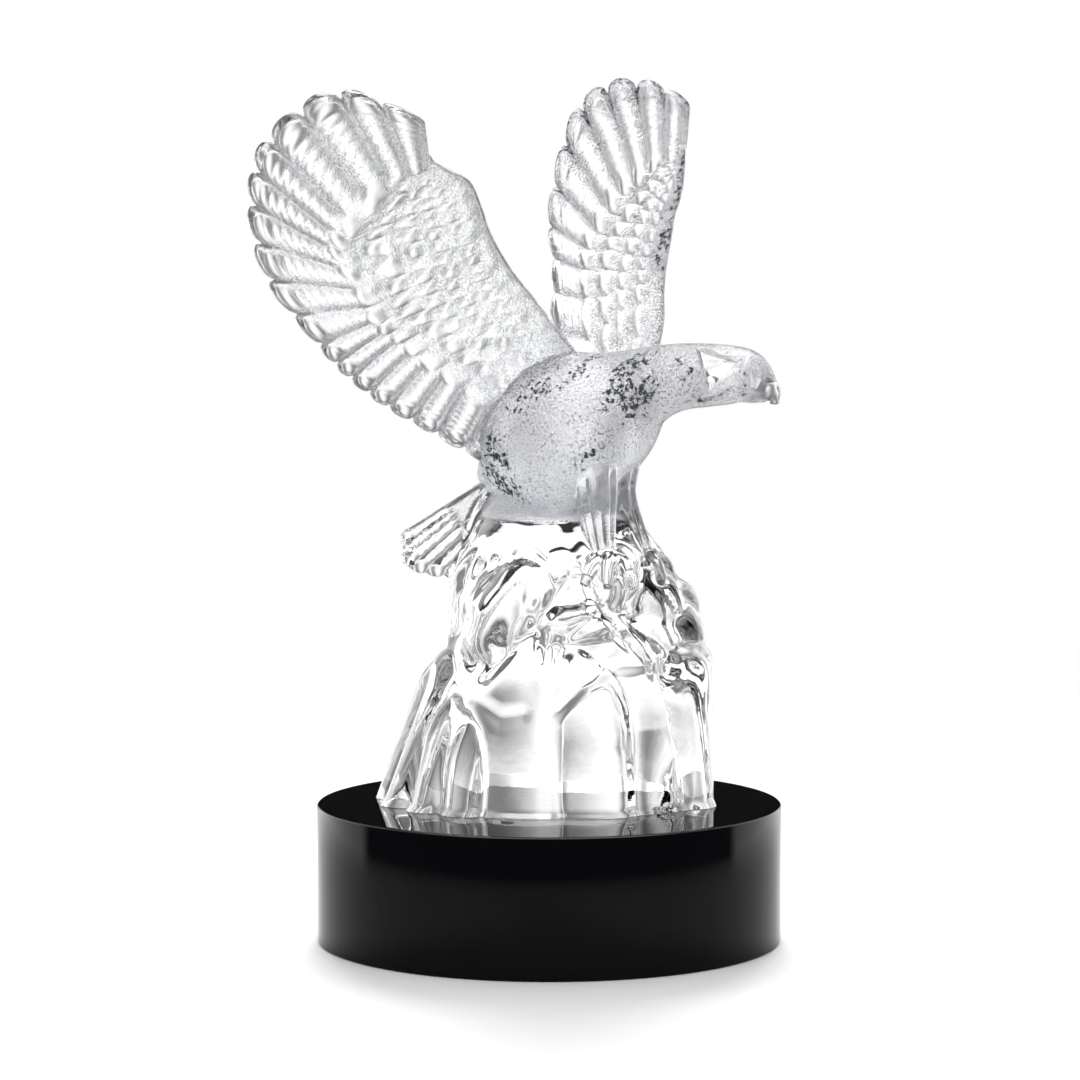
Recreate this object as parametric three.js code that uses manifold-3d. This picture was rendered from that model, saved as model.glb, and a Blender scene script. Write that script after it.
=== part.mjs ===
// Eagle trophy: a clear crystal eagle, cast in one with the rock that it stands on,
// set on a round base of black glass. Millimetres, +Z up. The origin is the middle of
// the base's underside, and the display's front is -Y.
import * as THREE from "three";
import { mergeVertices } from "three/addons/utils/BufferGeometryUtils.js";
import Module from "manifold-3d";

// Base: a polished disc with a narrow bevel round both rims.
const BASE_DIAMETER = 152;
const BASE_HEIGHT = 45;
const BASE_BEVEL = 0.8;
const BASE_SIDES = 72;

// Rock: a core whose reach on four sides falls with height, ringed by leaning columns.
const ROCK_AXIS = [0, 2];
const ROCK_SIDES = 56;
const ROCK_LEVELS = [
  45, 51, 57, 63, 69, 75, 81, 87, 93, 99, 105, 111, 117, 123, 129, 135, 140, 142.5, 151,
];
const ROCK_SQUARENESS = 2.4;
const ROCK_BLEND = 0.9;
const ROCK_CORE = [
  { z: 45, left: 47, right: 49, front: 35, back: 34 },
  { z: 72, left: 39, right: 48, front: 34, back: 36 },
  { z: 96, left: 31, right: 46, front: 30, back: 35 },
  { z: 119, left: 29.5, right: 39, front: 26, back: 31 },
  { z: 128, left: 27.5, right: 35.5, front: 24.5, back: 29 },
  { z: 136, left: 24, right: 30.5, front: 22.5, back: 25 },
  { z: 140, left: 21.5, right: 29, front: 21, back: 23.5 },
  { z: 142.5, left: 19, right: 28, front: 12, back: 17 },
  { z: 151, left: 10, right: 22, front: 6, back: 10 },
];
// Each column: compass angle, reach from the axis at its foot, radius, inward lean
// for each millimetre of height, the height of its top, and how much of that is a dome.
const COLUMNS = [
  { angle: 170, reach: 58, radius: 9, lean: 0.38, top: 93, dome: 9 },
  { angle: 190, reach: 55, radius: 8, lean: 0.38, top: 97, dome: 9 },
  { angle: 208, reach: 50, radius: 7, lean: 0.24, top: 81, dome: 14 },
  { angle: 227, reach: 46, radius: 8, lean: 0.12, top: 75, dome: 20 },
  { angle: 249, reach: 41, radius: 22, lean: 0.12, top: 108, dome: 24 },
  { angle: 301, reach: 43, radius: 20, lean: 0.05, top: 102, dome: 34 },
  { angle: 348, reach: 54.5, radius: 13, lean: 0.02, top: 100, dome: 9 },
  { angle: 18, reach: 53, radius: 14, lean: 0.08, top: 94, dome: 20 },
  { angle: 55, reach: 42, radius: 14, lean: -0.12, top: 92, dome: 26 },
  { angle: 94, reach: 37, radius: 15, lean: -0.15, top: 100, dome: 26 },
  { angle: 128, reach: 42, radius: 13, lean: -0.1, top: 90, dome: 26 },
  { angle: 152, reach: 47, radius: 9, lean: 0.12, top: 84, dome: 20 },
];
// Each boulder on the upper slope: compass angle, how far that angle turns for each
// millimetre of height, reach, radius, middle height and half height.
const BOULDERS = [
  { angle: 236, twist: 0.8, reach: 37, radius: 14, z: 107, half: 20 },
  { angle: 296, twist: 0.6, reach: 36, radius: 17, z: 106, half: 9 },
  { angle: 316, twist: 0, reach: 37, radius: 9, z: 121, half: 11 },
  { angle: 340, twist: -0.4, reach: 44, radius: 10, z: 112, half: 14 },
  { angle: 355, twist: 0, reach: 49.5, radius: 13, z: 100, half: 19 },
  { angle: 204, twist: 0.5, reach: 33, radius: 9, z: 108, half: 12 },
  { angle: 70, twist: 0.4, reach: 36, radius: 14, z: 112, half: 13 },
  { angle: 130, twist: -0.4, reach: 35, radius: 13, z: 118, half: 14 },
];

// Body, neck, head and beak: one swelling round a bent spine, from rump to beak tip.
// Each station: point on the spine, half width, and height above and below it.
const BODY_SIDES = 18;
const BODY_RINGS = 28;
const BODY_STATIONS = [
  { at: [-21, 14, 149], side: 4, up: 4, down: 4 },
  { at: [-15, 11, 154], side: 12, up: 9.5, down: 13 },
  { at: [-6, 6, 161], side: 19, up: 19, down: 27 },
  { at: [6, 0, 167], side: 23, up: 25, down: 27 },
  { at: [19, -7, 173], side: 21, up: 21.5, down: 19 },
  { at: [30, -12, 179.5], side: 16, up: 15, down: 12 },
  { at: [40, -15, 183.5], side: 13, up: 12, down: 10 },
  { at: [50, -17, 185], side: 10.8, up: 10.6, down: 9.8 },
  { at: [58, -18, 185], side: 10.2, up: 10, down: 9 },
  { at: [64, -18.5, 183.8], side: 8, up: 9.2, down: 7.6 },
  { at: [69, -19, 181.6], side: 4.2, up: 5.4, down: 4.6 },
  { at: [71.5, -19.2, 180], side: 1.5, up: 2, down: 2 },
];

// Limbs: tapered runs between stations of a point and a radius. The hooked beak, the lower
// beak, the thighs, and the web of crystal that props the tail against the rock.
const LIMB_SIDES = 9;
const LIMB_RINGS = 8;
const LIMBS = [
  [[64, -18.6, 183, 6], [69, -19, 182, 5], [72, -19.2, 179.6, 3.4], [73, -19, 176.8, 2],
    [72.4, -19, 175, 0.9]],
  [[60, -18.6, 180, 5], [66, -18.8, 178.6, 3.8], [71, -19, 177.4, 2]],
  [[12, -6, 172, 5], [14, -14, 160, 7.4], [15, -18, 149, 6.8], [16, -20, 139, 5.2],
    [17.5, -21.5, 126, 3.2]],
  [[20, -3, 172, 5], [22.5, -4, 160, 7], [22, -5, 148, 6], [24.5, -6, 138, 5.5], [30, -8, 124, 5]],
  [[-8, 6, 150, 7], [-17, 9, 142, 7], [-22, 12, 132, 7], [-22, 12, 120, 6]],
];
// Toes: shorter runs of the same kind, curled down over the top of the rock.
const TOE_SIDES = 6;
const TOE_RINGS = 4;
const TOES = [
  [[18, -20, 128, 3], [14, -26, 125, 2.6], [11, -28.5, 119, 1.4]],
  [[18.5, -20, 128, 3], [19, -27.5, 125.5, 2.6], [18.5, -31, 118, 1.4]],
  [[19, -20, 128, 3], [24, -26.5, 125.5, 2.6], [27, -29.5, 118, 1.4]],
  [[31, -6, 127, 3], [37, -9, 124, 2.6], [41, -11, 116, 1.4]],
  [[31, -6, 127, 3], [34, -14, 125, 2.6], [37, -19, 118, 1.4]],
];

// Wings and tail: feathered fans. Three curves run across the feathers, given as [x, z]:
// the leading edge, the line where the flight feathers come out from under the coverts,
// and the tips. The depth y follows the plane of the fan.
const NEAR_WING = {
  feathers: 18,
  plane: { y: -12, x: 9.4, z: 194.6, perX: 0.096, perZ: -0.32 },
  leading: [[-36, 253], [-32, 251], [-25, 247], [-21.5, 239.5], [-19, 232], [-15.5, 225],
    [-11, 218], [-5, 210.5], [1.5, 202], [11, 190.5]],
  coverts: [[-38, 250], [-49.5, 244.5], [-61, 231], [-65.5, 223], [-58, 212], [-54.5, 202.5],
    [-47.5, 196.5], [-39, 188.5], [-28, 180], [-12, 167]],
  tips: [[-39, 267], [-66.5, 275.5], [-88.5, 261.5], [-95, 241], [-90.5, 216.5], [-74.5, 195],
    [-64.5, 184], [-52.5, 174.5], [-37, 165.5], [-19, 155.5]],
  flightHalf: 2.5,
  armHalf: 4.2,
  rootHalf: 6.5,
  camber: 3,
  notch: 0.1,
  tiers: [{ end: 0.53, count: 16, rise: 0.9 }, { end: 0.38, count: 17, rise: 0.8 }],
  sweep: [0.045, 0.16, 0.29, 0.37, 0.46, 0.54, 0.62, 0.76, 0.88, 0.96],
};
const FAR_WING = {
  feathers: 11,
  plane: { y: 14, x: 30, z: 195, perX: -0.5, perZ: 0.6 },
  leading: [[45.5, 260], [45.5, 252], [44, 243], [42, 237], [40.5, 228.5], [39, 220.5],
    [38, 212], [37.5, 200], [33, 180]],
  coverts: [[44, 255.5], [35.5, 254.5], [29.5, 249], [23, 243], [17.5, 235], [13, 227],
    [11.5, 217], [12, 203], [14, 180]],
  tips: [[48, 275.5], [36, 282.5], [21.5, 283.5], [9.5, 275], [2.5, 256], [-0.5, 235.5], [1, 220],
    [1, 203], [3, 179]],
  flightHalf: 2.5,
  armHalf: 4,
  rootHalf: 6.5,
  camber: 3,
  notch: 0.11,
  tiers: [{ end: 0.53, count: 11, rise: 0.9 }, { end: 0.37, count: 12, rise: 0.8 }],
  sweep: [0.05, 0.16, 0.26, 0.34, 0.46, 0.54, 0.66, 0.82, 0.95],
};
const TAIL = {
  feathers: 6,
  plane: { y: 27, x: -40, z: 122, perX: 0.6, perZ: -1.11 },
  leading: [[-20, 151], [-14, 150], [-9, 146]],
  coverts: [[-34.5, 141.5], [-31, 135], [-20, 129]],
  tips: [[-49, 132.5], [-47.5, 120.5], [-31, 115.5]],
  flightHalf: 2.8,
  armHalf: 4,
  rootHalf: 4,
  camber: 0,
  notch: 0.06,
  tiers: [],
  sweep: [0.06, 0.3, 0.5, 0.7, 0.88],
};
// Feather form that the fans share. Shares run out from the leading edge at 0 to the tips
// at 1, or across from the outermost feather at 0 to the root at 1.
const COLUMNS_PER_FEATHER = 3;
const COVERT_SHARE = 0.5;
const ARM_THINS = { from: 0, to: 0.6 };
const HAND_COVERED = { from: 0.02, to: 0.16 };
const ROOT_SWELLS = { from: 0.78, to: 1.03 };
const EDGE_ROUND = 0.1;
const TIP_ROUND = 0.1;
const END_THINNEST = 0.35;
const GROOVE_DEPTH = 0.45;
const COVERT_GROOVE_DEPTH = 0.22;
const TIER_SOFTNESS = 0.05;
const TIER_LOBE = 0.06;
const TIER_FLAT = 0.4;
const PATH_STEP = 0.01;

// Points closer than this are one point of the solid.
const WELD_DISTANCE = 1e-3;

const { lerp, smoothstep, degToRad } = THREE.MathUtils;

// Closed solid from a stack of rings, each a list of points, with both ends capped.
function loft(rings) {
  const count = rings[0].length;
  const points = rings.flat();
  const triangles = [];
  for (let r = 0; r + 1 < rings.length; r++) {
    for (let i = 0; i < count; i++) {
      const a = r * count + i;
      const b = r * count + ((i + 1) % count);
      triangles.push(a, b, a + count, b, b + count, a + count);
    }
  }
  for (const [ring, flip] of [[0, true], [rings.length - 1, false]]) {
    const middle = rings[ring].reduce((sum, p) => sum.add(p), new THREE.Vector3()).divideScalar(count);
    const hub = points.push(middle) - 1;
    for (let i = 0; i < count; i++) {
      const a = ring * count + i;
      const b = ring * count + ((i + 1) % count);
      triangles.push(...(flip ? [b, a, hub] : [a, b, hub]));
    }
  }
  const geometry = new THREE.BufferGeometry().setFromPoints(points);
  geometry.setIndex(triangles);
  return geometry;
}

// Even curve through control points, read by a share from 0 to 1.
function curve(points) {
  const path = new THREE.CatmullRomCurve3(points, false, "catmullrom", 0.5);
  return (share) => path.getPoint(Math.min(Math.max(share, 0), 1));
}

// The bulge across one feather: 1 on its spine and 0 in the groove beside it.
function bulge(share, count) {
  const across = share * count - Math.floor(share * count) - 0.5;
  return Math.sqrt(Math.max(0, 1 - (2 * across) ** 2));
}

function ramp(stretch, value) {
  return smoothstep(value, stretch.from, stretch.to);
}

// Quarter-round fall of a thickness to nothing over the last stretch before an edge.
function roundOff(distance, stretch) {
  const short = Math.max(0, 1 - distance / stretch);
  return Math.sqrt(Math.max(0, 1 - short * short));
}

// A fan of feathers: at each share across, a ring runs out on the front face and back
// on the rear one. Coverts lie in tiers that end in lobes, each a step thicker.
function featherFan(fan) {
  const { y, x: planeX, z: planeZ, perX, perZ } = fan.plane;
  const toPoint = ([x, z]) => new THREE.Vector3(x, y + perX * (x - planeX) + perZ * (z - planeZ), z);
  const lines = [fan.leading, fan.coverts, fan.tips];
  const [leading, coverts, tips] = lines.map((line) => curve(line.map(toPoint)));
  const back = new THREE.Vector3(-perX, 1, -perZ).normalize();
  const steps = fan.feathers * COLUMNS_PER_FEATHER;

  function tierRise(tier, across, out) {
    const lobe = bulge(across, tier.count);
    const from = tier.end + TIER_LOBE * (lobe - 0.5) - TIER_SOFTNESS / 2;
    const covered = 1 - ramp({ from, to: from + TIER_SOFTNESS }, out);
    return tier.rise * covered * lerp(TIER_FLAT, 1, lobe) * ramp(HAND_COVERED, across);
  }

  function halfThickness(across, out) {
    const arm = lerp(fan.armHalf, fan.flightHalf, ramp(ARM_THINS, out));
    const plain = lerp(arm, fan.rootHalf, ramp(ROOT_SWELLS, across));
    const depth = out > COVERT_SHARE ? GROOVE_DEPTH : COVERT_GROOVE_DEPTH;
    const ridged = plain * (1 - depth * (1 - bulge(across, fan.feathers)));
    const tiers = fan.tiers.reduce((sum, tier) => sum + tierRise(tier, across, out), 0);
    const end = Math.max(END_THINNEST, roundOff(across, 1 / fan.feathers));
    return (ridged + tiers) * end * roundOff(out, EDGE_ROUND) * roundOff(1 - out, TIP_ROUND);
  }

  function middle(across, out) {
    const reach = 1 - fan.notch * (1 - bulge(across, fan.feathers));
    const inner = out < COVERT_SHARE;
    const share = inner ? out / COVERT_SHARE : ((out - COVERT_SHARE) / (1 - COVERT_SHARE)) * reach;
    const from = inner ? leading(across) : coverts(across);
    const to = inner ? coverts(across) : tips(across);
    return from.lerp(to, share).addScaledVector(back, fan.camber * Math.sin(Math.PI * out));
  }

  const rings = [];
  for (let i = 0; i <= steps; i++) {
    const across = i / steps;
    function place(out, side) {
      return middle(across, out).addScaledVector(back, side * halfThickness(across, out));
    }
    const front = fan.sweep.map((out) => place(out, -1));
    const rear = fan.sweep.map((out) => place(out, 1)).reverse();
    rings.push([middle(across, 0), ...front, middle(across, 1), ...rear]);
  }
  return loft(rings);
}

// Where a ray from the rock's axis leaves a round column or boulder, or 0 if it misses.
function reachThrough(offset, angle, centre, radius) {
  const apart = degToRad(angle) - offset;
  const beside = centre * Math.sin(apart);
  if (Math.abs(beside) >= radius || Math.cos(apart) < 0) return 0;
  return centre * Math.cos(apart) + Math.sqrt(radius * radius - beside * beside);
}

// The rock's reach from its axis: the soft largest of core, columns and boulders.
function rockReach(core, angle, z) {
  const halfX = Math.cos(angle) > 0 ? core.right : core.left;
  const halfY = Math.sin(angle) > 0 ? core.back : core.front;
  const alongX = Math.abs(Math.cos(angle) / halfX) ** ROCK_SQUARENESS;
  const alongY = Math.abs(Math.sin(angle) / halfY) ** ROCK_SQUARENESS;
  const reaches = [(alongX + alongY) ** (-1 / ROCK_SQUARENESS)];
  for (const c of COLUMNS) {
    const past = Math.max(0, (z - c.top) / c.dome + 1);
    if (past >= 1) continue;
    const radius = c.radius * Math.sqrt(1 - past * past);
    const centre = c.reach - c.radius - c.lean * (z - BASE_HEIGHT);
    reaches.push(reachThrough(angle, c.angle, centre, radius));
  }
  for (const b of BOULDERS) {
    const up = (z - b.z) / b.half;
    if (Math.abs(up) >= 1) continue;
    const turned = b.angle + b.twist * (z - b.z);
    reaches.push(reachThrough(angle, turned, b.reach - b.radius, b.radius * Math.sqrt(1 - up * up)));
  }
  const most = Math.max(...reaches);
  const shares = reaches.reduce((sum, r) => sum + Math.exp((r - most) / ROCK_BLEND), 0);
  return most + ROCK_BLEND * Math.log(shares);
}

function coreAt(z) {
  const above = Math.max(1, ROCK_CORE.findIndex((section) => section.z >= z));
  const [low, high] = [ROCK_CORE[above - 1], ROCK_CORE[above]];
  const share = (z - low.z) / (high.z - low.z);
  const between = (side) => lerp(low[side], high[side], share);
  return { left: between("left"), right: between("right"), front: between("front"), back: between("back") };
}

function rock() {
  const rings = [];
  for (const z of ROCK_LEVELS) {
    const ring = [];
    for (let i = 0; i < ROCK_SIDES; i++) {
      const angle = (2 * Math.PI * i) / ROCK_SIDES;
      const reach = rockReach(coreAt(z), angle, z);
      const x = ROCK_AXIS[0] + reach * Math.cos(angle);
      const y = ROCK_AXIS[1] + reach * Math.sin(angle);
      ring.push(new THREE.Vector3(x, y, z));
    }
    rings.push(ring);
  }
  return loft(rings);
}

// Rings square to a path: a half width, and a height on the side that faces the
// reference direction and on the side away from it.
function swelling(path, sizes, reference, ringCount, sides) {
  const rings = [];
  for (let r = 0; r <= ringCount; r++) {
    const share = r / ringCount;
    const size = sizes(share);
    const ahead = path(share + PATH_STEP).sub(path(share - PATH_STEP)).normalize();
    const side = new THREE.Vector3().crossVectors(reference, ahead).normalize();
    const up = new THREE.Vector3().crossVectors(ahead, side);
    const ring = [];
    for (let i = 0; i < sides; i++) {
      const turn = (2 * Math.PI * i) / sides;
      const height = Math.sin(turn) > 0 ? size.y : size.z;
      const point = path(share).addScaledVector(side, size.x * Math.cos(turn));
      ring.push(point.addScaledVector(up, height * Math.sin(turn)));
    }
    rings.push(ring);
  }
  return loft(rings);
}

function body() {
  const path = curve(BODY_STATIONS.map((s) => new THREE.Vector3(...s.at)));
  const sizes = curve(BODY_STATIONS.map((s) => new THREE.Vector3(s.side, s.up, s.down)));
  return swelling(path, sizes, new THREE.Vector3(0, 0, 1), BODY_RINGS, BODY_SIDES);
}

function limb(stations, ringCount, sides) {
  const path = curve(stations.map(([x, y, z]) => new THREE.Vector3(x, y, z)));
  const radius = curve(stations.map(([, , , r]) => new THREE.Vector3(r, r, r)));
  return swelling(path, radius, new THREE.Vector3(0, 1, 0), ringCount, sides);
}

function base() {
  const radius = BASE_DIAMETER / 2;
  const profile = [
    [0, 0], [radius - BASE_BEVEL, 0], [radius, BASE_BEVEL],
    [radius, BASE_HEIGHT - BASE_BEVEL], [radius - BASE_BEVEL, BASE_HEIGHT], [0, BASE_HEIGHT],
  ].map(([r, z]) => new THREE.Vector2(r, z));
  return new THREE.LatheGeometry(profile, BASE_SIDES).rotateX(Math.PI / 2);
}

const wasm = await Module();
wasm.setup();

function solidOf(geometry) {
  const bare = new THREE.BufferGeometry();
  bare.setAttribute("position", geometry.getAttribute("position"));
  bare.setIndex(geometry.getIndex());
  const merged = mergeVertices(bare, WELD_DISTANCE);
  const vertProperties = merged.getAttribute("position").array;
  const triVerts = new Uint32Array(merged.getIndex().array);
  return new wasm.Manifold(new wasm.Mesh({ numProp: 3, vertProperties, triVerts }));
}

function joined(geometries) {
  const whole = geometries.map(solidOf).reduce((sum, piece) => sum.add(piece));
  const mesh = whole.getMesh();
  const geometry = new THREE.BufferGeometry();
  geometry.setAttribute("position", new THREE.BufferAttribute(mesh.vertProperties, mesh.numProp));
  geometry.setIndex(new THREE.BufferAttribute(mesh.triVerts, 1));
  geometry.computeVertexNormals();
  return geometry;
}

const crystal = new THREE.MeshStandardMaterial({
  color: 0xf4f7fa,
  roughness: 0.03,
  metalness: 0,
  transparent: true,
  opacity: 0.35,
});
const blackGlass = new THREE.MeshStandardMaterial({ color: 0x08080a, roughness: 0.04, metalness: 0 });

function named(name, geometry, material) {
  const mesh = new THREE.Mesh(geometry, material);
  mesh.name = name;
  return mesh;
}

const eagle = joined([
  rock(),
  body(),
  ...LIMBS.map((stations) => limb(stations, LIMB_RINGS, LIMB_SIDES)),
  ...TOES.map((stations) => limb(stations, TOE_RINGS, TOE_SIDES)),
  featherFan(NEAR_WING),
  featherFan(FAR_WING),
  featherFan(TAIL),
]);

const trophy = new THREE.Group();
trophy.add(named("black_base", base(), blackGlass));
trophy.add(named("crystal_eagle", eagle, crystal));

export default trophy;
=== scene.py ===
# %% [markdown]
# # A crystal eagle on a black base
#
# The object is an award: an eagle with raised wings, cast in clear crystal in one piece with
# the rock under its feet, on a round base of polished black glass. This lesson rebuilds the
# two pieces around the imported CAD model, which gives the frame: metres, +Z up, the origin in
# the middle of the base's underside, and the display's front towards -Y.

# %% Load the frame
from math import pi, radians

import bpy
import numpy as np
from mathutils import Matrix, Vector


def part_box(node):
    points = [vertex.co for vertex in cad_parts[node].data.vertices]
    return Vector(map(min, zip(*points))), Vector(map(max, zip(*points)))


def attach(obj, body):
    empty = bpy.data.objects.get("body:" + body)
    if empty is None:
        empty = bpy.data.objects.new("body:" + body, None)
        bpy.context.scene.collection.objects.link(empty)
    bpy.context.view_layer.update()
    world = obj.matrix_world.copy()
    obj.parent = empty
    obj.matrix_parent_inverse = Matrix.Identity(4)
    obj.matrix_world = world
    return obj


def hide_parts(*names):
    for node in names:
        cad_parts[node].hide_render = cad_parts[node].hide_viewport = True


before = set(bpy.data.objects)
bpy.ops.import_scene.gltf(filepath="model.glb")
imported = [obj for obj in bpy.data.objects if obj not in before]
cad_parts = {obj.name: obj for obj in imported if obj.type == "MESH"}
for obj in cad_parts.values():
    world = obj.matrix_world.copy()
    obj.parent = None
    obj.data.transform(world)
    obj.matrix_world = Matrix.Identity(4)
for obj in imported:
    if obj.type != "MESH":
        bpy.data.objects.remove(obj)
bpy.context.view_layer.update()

_, base_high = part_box("black_base")
BASE_TOP = float(base_high[2])
BASE_RADIUS = float(base_high[0])
MM = 0.001

# %% [markdown]
# ## Helpers for surfaces
#
# Every form here is a stack of closed rings, like slices through a loaf. One helper draws a
# smooth curve through a few given points, and one turns a whole array of rings into a
# closed mesh. Sizes are written in millimetres and turned into metres only at the end.

# %% Curves, steps and lumps
GRAIN_WAVES = 28


def through(points, shares):
    """An even curve through the points, read at shares from 0 to 1: the cubic between two
    neighbours leaves each point along the line from the point before to the one after."""
    p = np.asarray(points, float)
    p = np.vstack([2 * p[0] - p[1], p, 2 * p[-1] - p[-2]])
    place = np.clip(np.asarray(shares, float), 0, 1) * (len(p) - 3)
    i = np.minimum(place.astype(int), len(p) - 4)
    t = (place - i)[..., None]
    a, b, c, d = p[i], p[i + 1], p[i + 2], p[i + 3]
    bend = (2 * a - 5 * b + 4 * c - d) * t**2 + (3 * b - a - 3 * c + d) * t**3
    return b + 0.5 * ((c - a) * t + bend)


def ramp(low, high, value):
    """A smooth step: 0 up to low, 1 from high on, and an S between them."""
    t = np.clip((value - low) / (high - low), 0, 1)
    return t * t * (3 - 2 * t)


def mix(a, b, share):
    """The value a share of the way from a to b."""
    return a + (b - a) * share


def quarter_round(distance, stretch):
    """Quarter of a circle: 0 at an edge, and 1 from the given stretch inwards."""
    return np.sqrt(1 - np.clip(1 - distance / stretch, 0, 1) ** 2)


def grain(points, pitch, seed):
    """Fine lumps of a given pitch between about -1 and 1: the mean of plane waves that run in
    random directions, which gives the same value at the same place every time."""
    random = np.random.default_rng(seed)
    way = random.normal(size=(3, GRAIN_WAVES))
    way *= 2 * pi / pitch / np.linalg.norm(way, axis=0)
    waves = np.sin(points @ way + random.uniform(0, 2 * pi, GRAIN_WAVES))
    return waves.sum(axis=-1) * (2 / GRAIN_WAVES) ** 0.5


# %% Ring solids
PART_NAMES = [
    "polished_base", "near_wing", "far_wing", "tail", "trunk", "beak", "near_thigh",
    "far_thigh", "tail_web", "toe_0", "toe_1", "toe_2", "toe_3", "toe_4", "mandible", "rock"]


def add_object(name, data):
    """A new object with the given data, linked into the scene."""
    item = bpy.data.objects.new(name, data)
    bpy.context.collection.objects.link(item)
    return item


def ring_solid(name, rings, frost=0):
    """A closed mesh from rings of points (rows, sides, 3) in millimetres: quads join each
    ring to the next, and a fan to the middle closes each end. The frost of each point and
    the part's number in the list of names go along as attributes."""
    rows, sides, _ = rings.shape
    here = np.arange(rows * sides).reshape(rows, sides)
    beside = np.roll(here, -1, axis=1)
    quads = np.stack([here[:-1], beside[:-1], beside[1:], here[1:]], -1).reshape(-1, 4)
    hubs = np.full(sides, rows * sides)
    low_fan = np.stack([beside[0], here[0], hubs], -1)
    high_fan = np.stack([here[-1], beside[-1], hubs + 1], -1)
    points = np.vstack([rings.reshape(-1, 3), rings[[0, -1]].mean(axis=1)]) * MM
    mesh = bpy.data.meshes.new(name)
    mesh.from_pydata(points, [], quads.tolist() + low_fan.tolist() + high_fan.tolist())
    frost = np.broadcast_to(frost, (rows, sides))
    values = np.append(frost.ravel(), frost[[0, -1]].mean(axis=1)).astype(np.float32)
    mesh.attributes.new("frost", "FLOAT", "POINT").data.foreach_set("value", values)
    numbers = np.full(len(mesh.polygons), PART_NAMES.index(name), np.int32)
    mesh.attributes.new("part", "INT", "FACE").data.foreach_set("value", numbers)
    print(f"{name}: {len(mesh.vertices)} points")
    return add_object(name, mesh)


# %% [markdown]
# ## Body, head, legs and toes: swellings along a path
#
# A trunk or a limb is a profile carried along a bent path. Each station gives a point on the
# path and how wide the form is there. The trunk's rings are taller above or below the path, so
# the breast can be deep while the back stays flat. Metaballs would give such forms too, but
# with no say over each outline.

# %% Stations along the trunk and the limbs, in millimetres
TRUNK = [  # x, y, z, half width, height above, height below
    (-21, 14, 149, 4, 4, 4), (-15, 11, 154, 12, 9.5, 13), (-6, 6, 161, 19, 19, 27),
    (6, 0, 167, 23, 25, 27), (19, -7, 173, 21, 21.5, 19), (30, -12, 179.5, 16, 15, 12),
    (40, -15, 183.5, 13, 12, 10), (50, -17, 185, 10.8, 10.6, 9.8),
    (58, -18, 185, 10.2, 10, 9), (64, -18.5, 183.8, 8, 9.2, 7.2),
    (69, -19, 181.6, 4.2, 5.8, 4.4), (71, -19.2, 180.4, 1.5, 2.4, 2)]
BEAK = [  # x, y, z and radius, as for every limb
    (62, -18.6, 184, 6.4), (67, -19, 183, 5.4), (70.6, -19.2, 180.4, 3.7),
    (72, -19, 177.8, 2.1), (71.8, -19, 176.2, 1.1)]
MANDIBLE = [(58, -18.6, 181.6, 4.6), (65, -18.8, 180, 3.5), (70, -19, 178.6, 1.9)]
NEAR_THIGH = [
    (12, -6, 172, 5), (14, -14, 160, 7.4), (15, -18, 149, 6.8), (16, -20, 139, 5.2),
    (17.5, -21.5, 126, 3.2)]
FAR_THIGH = [
    (20, -3, 172, 5), (22.5, -4, 160, 7), (22, -5, 148, 6), (24.5, -6, 138, 5.5),
    (30, -8, 124, 5)]
TAIL_WEB = [(-8, 6, 150, 7), (-17, 9, 142, 7), (-22, 12, 132, 7), (-22, 12, 120, 6)]
TOES = [
    [(18, -20, 128, 3), (14, -26, 125, 2.6), (11, -28.5, 119, 1.4)],
    [(18.5, -20, 128, 3), (19, -27.5, 125.5, 2.6), (18.5, -31, 118, 1.4)],
    [(19, -20, 128, 3), (24, -26.5, 125.5, 2.6), (27, -29.5, 118, 1.4)],
    [(31, -6, 127, 3), (37, -9, 124, 2.6), (41, -11, 116, 1.4)],
    [(31, -6, 127, 3), (34, -14, 125, 2.6), (37, -19, 118, 1.4)]]
print("stations along the trunk:", len(TRUNK), "and toes:", len(TOES))

# %% Carry a profile along a path
PATH_STEP = 0.01
BELLY_SQUARE = 0.3
RIDGES_AROUND = 9


def swelling_rings(path, sizes, reference, rows, sides, relief=None, square=None):
    """Rings square to a path: half width on one axis, and two heights on the other, which
    leans to the reference direction. A relief (share, turn) is added to the ring's radius. The
    lower half is an ellipse whose sine and cosine are raised to a power, below 1 for squarer."""
    share = np.linspace(0, 1, rows)
    turn = np.linspace(0, 2 * pi, sides, endpoint=False)[None, :]
    ahead = through(path, share + PATH_STEP) - through(path, share - PATH_STEP)
    ahead /= np.linalg.norm(ahead, axis=1, keepdims=True)
    side = np.cross(reference, ahead)
    side /= np.linalg.norm(side, axis=1, keepdims=True)
    up = np.cross(ahead, side)
    width, above, below = through(sizes, share).T[:, :, None]
    push = relief(share[:, None], turn) if relief else 0
    power = np.where(np.sin(turn) > 0, 1, square(share)[:, None] if square else 1)
    across, along = np.cos(turn), np.sin(turn)
    height = np.where(along > 0, above, below)
    sideways = (width + push) * np.sign(across) * np.abs(across) ** power
    upward = (height + push) * np.sign(along) * np.abs(along) ** power
    spread = sideways[..., None] * side[:, None] + upward[..., None] * up[:, None]
    return through(path, share)[:, None] + spread


def belly_power(share):
    """The power of the trunk's lower half: 1 at both ends, and less along the belly."""
    return 1 - BELLY_SQUARE * ramp(0.04, 0.14, share) * (1 - ramp(0.34, 0.5, share))


def trunk_form(rows, sides, relief=None):
    """Rings of the trunk. The belly is squarer, so that it falls straight to the rock."""
    path, sizes = np.hsplit(np.array(TRUNK, float), 2)
    return swelling_rings(path, sizes, (0, 0, 1), rows, sides, relief, belly_power)


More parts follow.
